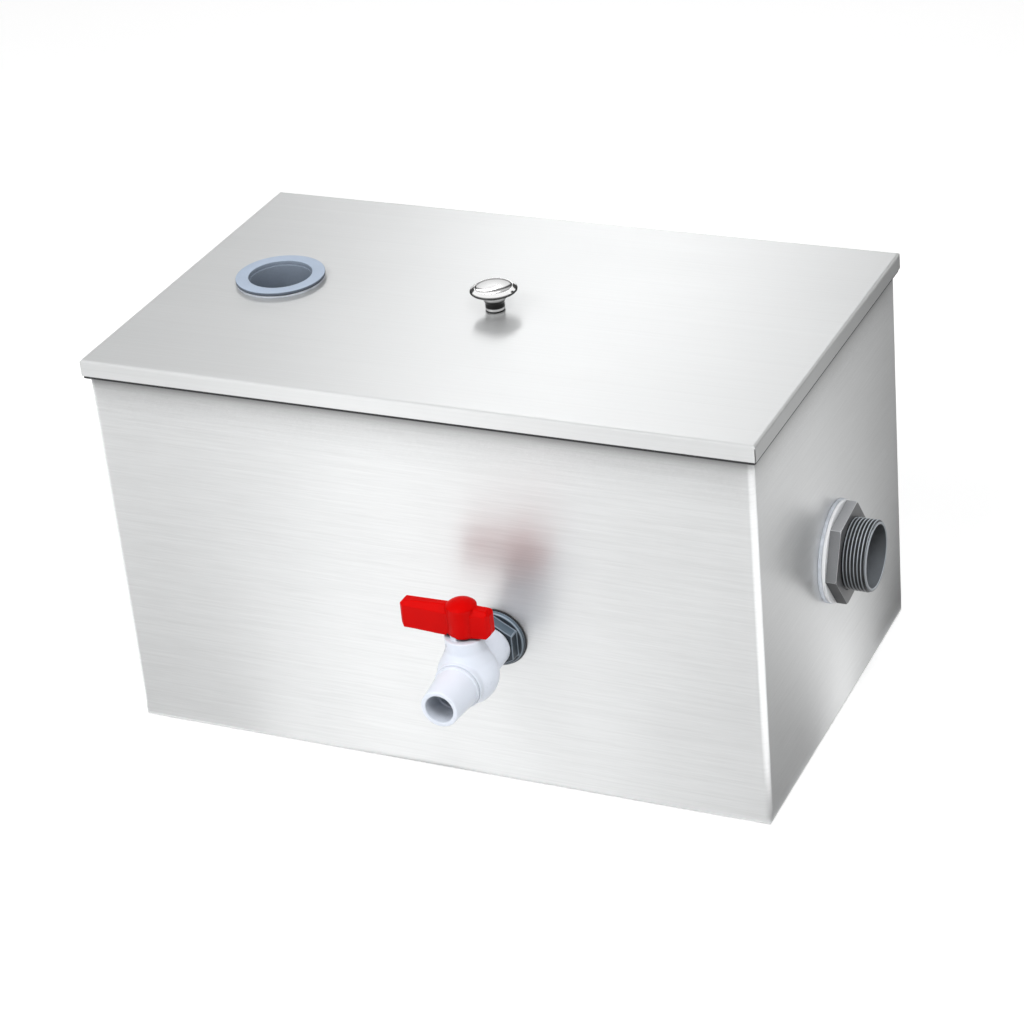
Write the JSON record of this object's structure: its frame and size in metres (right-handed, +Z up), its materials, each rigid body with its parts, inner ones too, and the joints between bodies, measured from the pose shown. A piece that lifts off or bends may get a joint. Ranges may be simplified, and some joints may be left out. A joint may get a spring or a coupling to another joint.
{
  "type": "grease trap",
  "caption": "Folded stainless steel grease trap with a lift-off lid, pipe connectors in lid and end wall, baffles, a strainer basket and a lever ball valve to drain it.",
  "frame": {"origin": "middle of the tank's underside, on the floor", "axes": "+X along the tank towards the outlet, -Y towards the front with the drain valve, +Z up through the lid"},
  "size_m": [0.5345, 0.401, 0.3186],
  "materials": {
    "stainless": "hairline brushed",
    "polished_metal": "polished",
    "grey_pvc": "moulded, satin",
    "blue_grey_pvc": "moulded, satin",
    "slate_pvc": "moulded, satin",
    "white_pvc": "moulded, gloss",
    "red_abs": "moulded, gloss",
    "black_rubber": "matt",
    "pale_rubber": "matt",
    "white_nylon": "satin"
  },
  "bodies": {
    "tank": {"tank": "stainless", "first_guide_front": "stainless", "first_guide_rear": "stainless", "second_guide_front": "stainless", "second_guide_rear": "stainless", "inlet_baffle": "stainless", "outlet_baffle": "stainless", "basket_ledge_front": "stainless", "basket_ledge_rear": "stainless", "strainer_basket": "stainless", "basket_handle": "stainless", "outlet_connector": "grey_pvc", "outlet_inner_gasket": "black_rubber", "outlet_washer": "pale_rubber", "outlet_gasket": "white_nylon", "outlet_nut": "grey_pvc", "outlet_elbow": "white_pvc", "drain_connector": "slate_pvc", "drain_gasket": "black_rubber", "drain_inner_washer": "black_rubber", "drain_nut": "slate_pvc", "valve_body": "white_pvc", "valve_spout": "white_pvc", "valve_seat_inner": "white_nylon", "valve_seat_outer": "white_nylon"},
    "valve": {"valve_ball": "white_pvc", "valve_stem": "slate_pvc", "stem_o_ring": "black_rubber", "valve_handle": "red_abs"},
    "lid": {"lid": "stainless", "lid_seal": "black_rubber", "inlet_connector": "blue_grey_pvc", "inlet_gasket": "pale_rubber", "inlet_nut": "grey_pvc", "knob": "polished_metal", "knob_washer": "stainless", "knob_screw": "stainless"}
  },
  "joints": [
    {"name": "lid_lift", "type": "slide", "parent": "tank", "child": "lid", "axis": [0, 0, 1], "range_m": [0, 0.2]},
    {"name": "valve_turn", "type": "hinge", "parent": "tank", "child": "valve", "pos_m": [0.054, -0.2, 0.1215], "axis": [0, 0, 1], "range_deg": [0, 90]}
  ]
}
